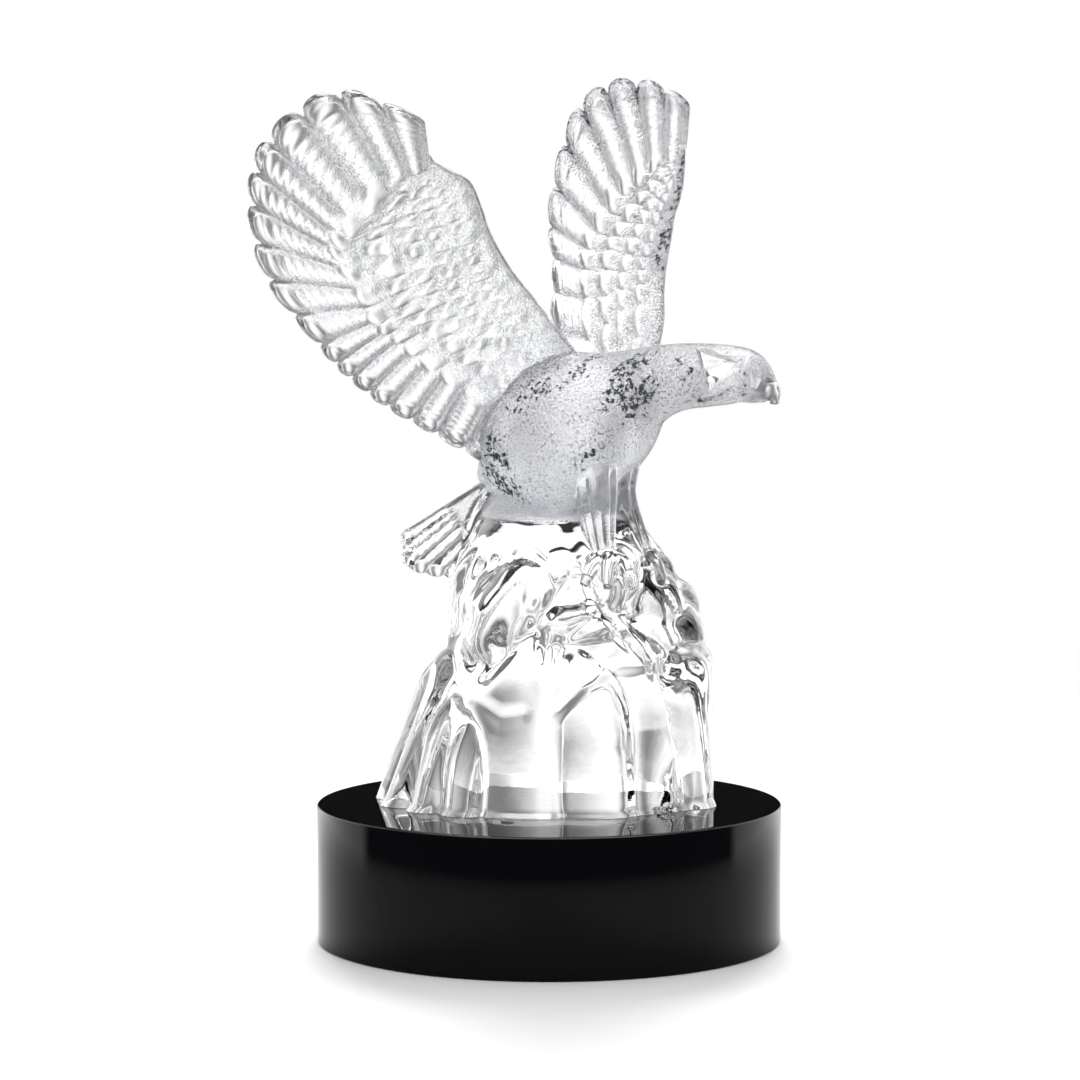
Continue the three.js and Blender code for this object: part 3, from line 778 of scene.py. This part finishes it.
def soften_seams(mesh, spread, rounds, parts=None):
    """Weighted smoothing: a weight of 1 on the seams spreads by averaging over edges, and each
    round moves a point by its weight times half the way to the mean of its neighbours. So does
    the frost, once it is read anew on the seam. The flat foot of the rock stays still."""
    count = len(mesh.vertices)
    one, other = read(mesh.edges, "vertices", np.int32, 2).reshape(-1, 2).T
    degree = np.bincount(one, minlength=count) + np.bincount(other, minlength=count)

    def around(values):
        total = np.bincount(one, values[other], count) + np.bincount(other, values[one], count)
        return total / np.maximum(degree, 1)

    seam = seam_mask(mesh, parts)
    weight = seam.astype(float)
    for _ in range(spread):
        weight = np.maximum(weight, SEAM_FADE * around(weight))
    points = read(mesh.vertices, "co", float, 3).reshape(-1, 3)
    weight[points[:, 2] < BASE_TOP + 2 * AIR_GAP * MM] = 0
    frost = read(mesh.attributes["frost"].data, "value", np.float32)
    beside = around((~seam).astype(float))
    anew = around(frost * ~seam) / np.maximum(beside, 1e-6)
    frost = np.where(seam & (beside > 0), anew, frost)
    for _ in range(rounds):
        mean = np.stack([around(column) for column in points.T], -1)
        points += 0.5 * weight[:, None] * (mean - points)
        frost += 0.5 * weight * (around(frost) - frost)
    mesh.attributes["frost"].data.foreach_set("value", frost.astype(np.float32))
    mesh.vertices.foreach_set("co", points.ravel())
    mesh.update()
    return int(seam.sum())


def shade_smooth(mesh, sharp):
    """Smooth shading, except over edges that bend by more than the sharp angle."""
    mesh.polygons.foreach_set("use_smooth", np.ones(len(mesh.polygons), bool))
    mesh.set_sharp_from_angle(angle=sharp)


crystal = casting("crystal_casting", [rock, trunk, near_wing, far_wing, tail, *limbs])
seam_points = soften_seams(crystal.data, SEAM_SPREAD, SEAM_ROUNDS)
soften_seams(crystal.data, ROOT_SPREAD, ROOT_ROUNDS, parts=("near_wing", "trunk"))
shade_smooth(crystal.data, SHARP_CRYSTAL)
triangles = sum(len(p.vertices) - 2 for p in crystal.data.polygons)
print("crystal:", triangles, "triangles,", seam_points, "points on seams")

# %% [markdown]
# ## The base: a turned profile
#
# The base is a disc with a bright narrow bevel on each rim. The profile, a polyline with two
# rounded corners, is turned about the axis. The CAD disc has flat sides that a mirror-like
# finish would show, so this smooth one stands for it.

# %% Turn the base
BEVEL = 0.8
BEVEL_STEPS = 4
BASE_SIDES = 256
INNER_SHARES = (0.02, 0.5, 0.97)
SHARP_BASE = radians(28)


def turned_rings(profile, sides):
    """Each point of the profile (radius, z) goes round the axis and makes one ring."""
    turn = np.linspace(0, 2 * pi, sides, endpoint=False)[None, :]
    radius, z = np.array(profile, float).T[:, :, None]
    return np.stack([radius * np.cos(turn), radius * np.sin(turn), z + 0 * turn], -1)


height, radius = BASE_TOP / MM, BASE_RADIUS / MM
corner = np.linspace(0, pi / 2, BEVEL_STEPS)
low_rim = BEVEL * np.stack([np.sin(corner) - 1, 1 - np.cos(corner)], -1) + [radius, 0]
high_rim = np.stack([low_rim[::-1, 0], height - low_rim[::-1, 1]], -1)
inner = [(radius * share, 0) for share in INNER_SHARES]
outer = [(r, height) for r, _ in inner[::-1]]
profile = [*inner, *low_rim, *high_rim, *outer]
base = ring_solid("polished_base", turned_rings(profile, BASE_SIDES))
shade_smooth(base.data, SHARP_BASE)

# %% [markdown]
# ## Shader maths as expressions
#
# A small class wraps a node's output, so that `0.02 + 0.3 * frost` adds the Math nodes for it.
# Any other node comes from one method that takes its type, its settings and its inputs.

# %% The socket class


class Socket:
    """An output in a node tree. Arithmetic on it adds Math nodes to the tree."""

    def __init__(self, tree, output=None):
        self.tree = tree
        self.output = output

    def node(self, kind, settings=None, inputs=None, output=0):
        """Adds a node of a type, with its settings set first, then its socket values or links."""
        node = self.tree.nodes.new(kind)
        for name, value in (settings or {}).items():
            setattr(node, name, value)
        for name, value in (inputs or {}).items():
            if isinstance(value, Socket):
                self.tree.links.new(value.output, node.inputs[name])
            else:
                node.inputs[name].default_value = value
        return Socket(self.tree, node.outputs[output] if len(node.outputs) else None)

    def math(self, operation, *values):
        """A Math node with an operation, on values or sockets."""
        return self.node("ShaderNodeMath", {"operation": operation}, dict(enumerate(values)))

    def __add__(self, other):
        return self.math("ADD", self, other)

    def __sub__(self, other):
        return self.math("SUBTRACT", self, other)

    def __rsub__(self, other):
        return self.math("SUBTRACT", other, self)

    def __mul__(self, other):
        return self.math("MULTIPLY", self, other)

    __radd__ = __add__
    __rmul__ = __mul__

    def step(self, low, high):
        """Smooth step from 0 at low to 1 at high."""
        inputs = {"Value": self, "From Min": low, "From Max": high}
        return self.node("ShaderNodeMapRange", {"interpolation_type": "SMOOTHSTEP"}, inputs)


def noise(tree, place, scale, detail, roughness=0.5):
    """Cloudy noise between 0 and 1, with so many lumps in a metre and so many finer layers."""
    return tree.node("ShaderNodeTexNoise", inputs={
        "Vector": place, "Scale": scale, "Detail": detail, "Roughness": roughness})


def blend_colour(tree, share, low, high):
    """A colour between two colours, by a share that varies over the surface."""
    inputs = {"Factor": share, 6: low, 7: high}
    return tree.node("ShaderNodeMix", {"data_type": "RGBA"}, inputs, output=2)


def give_material(piece, name, surface):
    """Gives a piece one new material. The surface is a function of the tree and of the place on
    the piece, which adds its nodes and returns the shader."""
    material = bpy.data.materials.new(name)
    material.use_nodes = True
    material.node_tree.nodes.clear()
    tree = Socket(material.node_tree)
    place = tree.node("ShaderNodeTexCoord", output="Object")
    tree.node("ShaderNodeOutputMaterial", inputs={"Surface": surface(tree, place)})
    piece.data.materials.clear()
    piece.data.materials.append(material)
    print(f"{piece.name}: {name}, {len(material.node_tree.nodes)} nodes")


# %% [markdown]
# ## Clear crystal
#
# The crystal passes light, with plain values for transmission and index. Polished parts are
# mirror smooth. Where the points carry frost, it raises the roughness and a fine bump, and
# opens specks and pits, coloured near black as painted shade. Frost also scatters light at the
# surface itself, which clear glass can't do however rough it is, so a share of a pale matt skin
# is mixed in, most of all low on the belly.

# %% Crystal material
CRYSTAL_INDEX = 1.52
GRAIN_PER_METRE = 1400
SPECKS_PER_METRE = 1100
HOLES_PER_METRE = 680
SWELLS_PER_METRE = 120
HOLE_SPREAD = 0.14
SKIN_SHARE = 0.3
BELLY_SHARE = 0.6
BELLY_HEIGHTS = (0.148, 0.17)
HOLE_SHARE = 0.55
SPECK_PAINTED_SHADE, HOLE_PAINTED_SHADE = 0.65, 0.97
BUMP_DISTANCE = 0.002
CLEAR_TINT = (0.99, 0.995, 1.0, 1)
GRAIN_SHADE = (0.78, 0.80, 0.88, 1)
GRAIN_LIGHT = (0.98, 0.985, 1.0, 1)
# Near black for the specks and holes: painted shade inside these small hollows.
PIT_PAINTED_SHADE = (0.03, 0.035, 0.05, 1)


def clear_crystal(tree, place):
    """Clear crystal whose grain, pits, roughness and tint follow the frost. The part of the
    frost above 1 opens larger holes. Specks and holes take a near-black colour: painted shade."""
    frost = tree.node("ShaderNodeAttribute", {"attribute_name": "frost"}, output="Fac")
    grainy, holed = tree.math("MINIMUM", frost, 1.0), frost.step(0.9, 1.7)
    height = tree.node("ShaderNodeSeparateXYZ", inputs={"Vector": place}, output="Z")
    above = height.step(*BELLY_HEIGHTS)
    grain = noise(tree, place, GRAIN_PER_METRE, 2.5)
    swell = noise(tree, place, SWELLS_PER_METRE, 2)
    specks = noise(tree, place, SPECKS_PER_METRE, 3).step(0.56, 0.62)
    specks = specks * (0.4 + 0.6 * swell.step(0.42, 0.6)) * grainy * (0.3 + 0.7 * above)
    holes = noise(tree, place, HOLES_PER_METRE, 6, 0.7)
    holes = holes - HOLE_SPREAD * (1 - holed * swell.step(0.3, 0.5))
    holes = holes.step(0.485, 0.525) * frost.step(0.9, 1.1)
    relief = 0.5 * grain * grainy - 0.3 * specks - 0.6 * holes + 0.04 * swell
    bump = tree.node("ShaderNodeBump", inputs={
        "Height": relief, "Strength": 1.0, "Distance": BUMP_DISTANCE})
    grains = blend_colour(tree, grain.step(0.36, 0.6), GRAIN_SHADE, GRAIN_LIGHT)
    ground = blend_colour(tree, grainy, CLEAR_TINT, grains)
    # How far each point is painted with the shade of a pit: the specks and holes are darkened to
    # near black, on the glass and on the matt skin.
    dark = tree.math("MINIMUM", SPECK_PAINTED_SHADE * specks + HOLE_PAINTED_SHADE * holes, HOLE_PAINTED_SHADE)
    glass = tree.node("ShaderNodeBsdfPrincipled", inputs={
        "Base Color": blend_colour(tree, dark, ground, PIT_PAINTED_SHADE),
        "Roughness": 0.01 + 0.08 * grainy, "Normal": bump,
        "IOR": CRYSTAL_INDEX, "Transmission Weight": 1.0})
    skin = tree.node("ShaderNodeBsdfPrincipled", inputs={
        "Base Color": blend_colour(tree, dark, grains, PIT_PAINTED_SHADE),
        "Roughness": 0.6, "Specular IOR Level": 0.0, "Normal": bump})
    cover = (SKIN_SHARE + BELLY_SHARE * (1 - above)) * grainy + HOLE_SHARE * holes
    return tree.node("ShaderNodeMixShader", inputs={0: cover, 1: glass, 2: skin})


give_material(crystal, "clear_crystal", clear_crystal)

# %% [markdown]
# ## Black glass
#
# The base is opaque black glass. All its colour is reflection: a low index keeps the front wall
# dark, and the gloss rises towards the sides by itself. A faint cloud in the roughness stands
# for the last traces of polishing.

# %% Black glass material
BLACK_GLASS_INDEX = 1.16
CLOUDS_PER_METRE = 35
BLACK_DEEP = (0.0022, 0.0022, 0.0028, 1)
BLACK_CLOUD = (0.0038, 0.0038, 0.0048, 1)


def black_glass(tree, place):
    """Polished black glass, whose colour and roughness rise a little with a faint cloud."""
    cloud = noise(tree, place, CLOUDS_PER_METRE, 4)
    return tree.node("ShaderNodeBsdfPrincipled", inputs={
        "Base Color": blend_colour(tree, cloud, BLACK_DEEP, BLACK_CLOUD),
        "Roughness": 0.02 + 0.03 * cloud, "IOR": BLACK_GLASS_INDEX})


give_material(base, "black_glass", black_glass)

# %% [markdown]
# ## Tie the pieces to the frame
#
# Nothing moves, so both pieces ride on the one body, and each hides the CAD node it stands for
# and says which one that is.

# %% Ride and replace
DRESSED = [
    (crystal, "crystal_eagle", "clear_crystal"),
    (base, "black_base", "black_glass")]
for piece, node, finish in DRESSED:
    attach(piece, "root")
    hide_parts(node)
    print(piece.name, "stands for", node)

# %% [markdown]
# ## Floor
#
# The object stands on a pale table that runs out into white. A huge plane would end in a
# horizon line, so this one fades to nothing by its distance from the middle.

# %% Pale floor
FLOOR_HALF = 0.8
FLOOR_FADE = (0.15, 0.75)
FLOOR_COLOUR = (0.93, 0.93, 0.93, 1)


def pale_floor(tree, place):
    """A matt surface whose alpha falls from 1 to 0 with the distance from the middle."""
    far = tree.node("ShaderNodeVectorMath", {"operation": "LENGTH"}, {0: place}, output="Value")
    return tree.node("ShaderNodeBsdfPrincipled", inputs={
        "Base Color": FLOOR_COLOUR, "Roughness": 0.6, "Specular IOR Level": 0.0,
        "Alpha": 1 - far.step(*FLOOR_FADE)})


floor_mesh = bpy.data.meshes.new("floor")
ways = ((-1, -1), (1, -1), (1, 1), (-1, 1))
corners = [(x * FLOOR_HALF, y * FLOOR_HALF, 0) for x, y in ways]
floor_mesh.from_pydata(corners, [], [(0, 1, 2, 3)])
floor = add_object("floor", floor_mesh)
give_material(floor, "pale_floor", pale_floor)

# %% [markdown]
# ## Studio sky
#
# Glass is lit by what stands around it. Bright panels with dim gaps between them, all round and
# upwards, give the crystal its white middles and grey edges. A photographer hides such panels
# from the lens with flags and tents. Here the sky answers each kind of ray by its own level:
# plain white for the camera, panels for light that has passed through glass, side strips and a
# bright ceiling for mirrored light, and a back light for what falls on matt surfaces.

# %% Sky by kind of ray
PANEL_LEVEL = 1.15
ROOM_LEVEL = 0.06
PANELS_AROUND, AROUND_SWING = 8, 0.42
PANELS_UPWARD, UPWARD_SWING = 3.4, 0.32
FLOOR_FILL = 0.8
FLOOR_BACK = 15
GLASS_GLINT = 6
DARK_ROOM = 0.012
SIDE_STRIP = 3
UPPER_WALL = 0.5
CEILING_MIRRORED = 14


def choose(tree, flag, no, yes):
    """One of two levels, by a flag of the ray."""
    return tree.node("ShaderNodeMix", inputs={0: flag, 2: no, 3: yes})


def outputs_of(tree, kind, names, inputs=None):
    """Several outputs of one new node, by their names."""
    node = tree.node(kind, inputs=inputs).output.node
    return [Socket(tree.tree, node.outputs[name]) for name in names]


def studio_sky():
    """Levels over the direction's turn from the back and its rise, both in radians: panels are
    cosines of the two, and strips and the ceiling are smooth steps."""
    world = bpy.data.worlds.new("studio")
    world.use_nodes = True
    world.cycles.sampling_method = "NONE"
    world.node_tree.nodes.clear()
    tree = Socket(world.node_tree)
    way = tree.node("ShaderNodeTexCoord", output="Generated")
    x, y, z = outputs_of(tree, "ShaderNodeSeparateXYZ", "XYZ", {"Vector": way})
    turn = tree.math("ABSOLUTE", tree.math("ARCTAN2", x, y))
    rise = tree.math("ARCSINE", z)
    around = 1 - AROUND_SWING + AROUND_SWING * tree.math("COSINE", turn * PANELS_AROUND)
    upward = 1 - UPWARD_SWING + UPWARD_SWING * tree.math("COSINE", rise * PANELS_UPWARD)
    seen_through = ROOM_LEVEL + PANEL_LEVEL * around * upward
    strips = SIDE_STRIP * turn.step(0.15, 0.5) * (1 - turn.step(1.3, 1.44))
    overhead = UPPER_WALL * rise.step(0.25, 0.6) + CEILING_MIRRORED * rise.step(0.9, 1.2)
    mirrored = DARK_ROOM + strips + overhead
    behind = (1 - turn.step(0.2, 0.45)) * rise.step(0.3, 0.5) * (1 - rise.step(0.8, 1.0))
    on_floor = FLOOR_FILL + FLOOR_BACK * behind
    camera, glossy, passing, depth = outputs_of(tree, "ShaderNodeLightPath", (
        "Is Camera Ray", "Is Glossy Ray", "Is Transmission Ray", "Transmission Depth"))
    in_glass = depth.math("GREATER_THAN", depth, 0.5)
    glint = choose(tree, in_glass, mirrored, GLASS_GLINT * seen_through)
    level = choose(tree, glossy, on_floor, glint)
    level = choose(tree, passing, level, seen_through)
    level = choose(tree, camera, level, 1.0)
    light = tree.node("ShaderNodeBackground", inputs={"Color": (1, 1, 1, 1), "Strength": level})
    tree.node("ShaderNodeOutputWorld", inputs={"Surface": light})
    bpy.context.scene.world = world
    print("sky:", len(world.node_tree.nodes), "nodes")


studio_sky()

# %% [markdown]
# ## Lamp and camera
#
# One large lamp overhead softens the floor. The camera stands far away, a little above the
# object's middle, so that the base's two rims are ovals as flat as in the picture.

# %% Lamp and camera
LAMP_SIZE = 1.6
LAMP_WATTS = 4
LAMP_PLACE = (0, 0.1, 1.7)
CAMERA_DISTANCE = 1.2243
CAMERA_PITCH = radians(4.419)
CAMERA_TARGET = 0.13113
LENS = 125.14
SHIFT = -0.0085
BOUNCES = 24

lamp_data = bpy.data.lights.new("ceiling_lamp", "AREA")
lamp_data.size = LAMP_SIZE
lamp_data.energy = LAMP_WATTS
add_object("ceiling_lamp", lamp_data).location = LAMP_PLACE

camera_data = bpy.data.cameras.new("camera")
camera_data.lens = LENS
camera_data.shift_x = SHIFT
camera = add_object("camera", camera_data)
back, rise = CAMERA_DISTANCE * np.cos(CAMERA_PITCH), CAMERA_DISTANCE * np.sin(CAMERA_PITCH)
camera.location = (0, -back, CAMERA_TARGET + rise)
camera.rotation_euler = (pi / 2 - CAMERA_PITCH, 0, 0)

scene = bpy.context.scene
scene.camera = camera
scene.view_settings.view_transform = "Standard"
scene.cycles.max_bounces = BOUNCES
scene.cycles.transmission_bounces = BOUNCES
print("camera at:", tuple(camera.location))
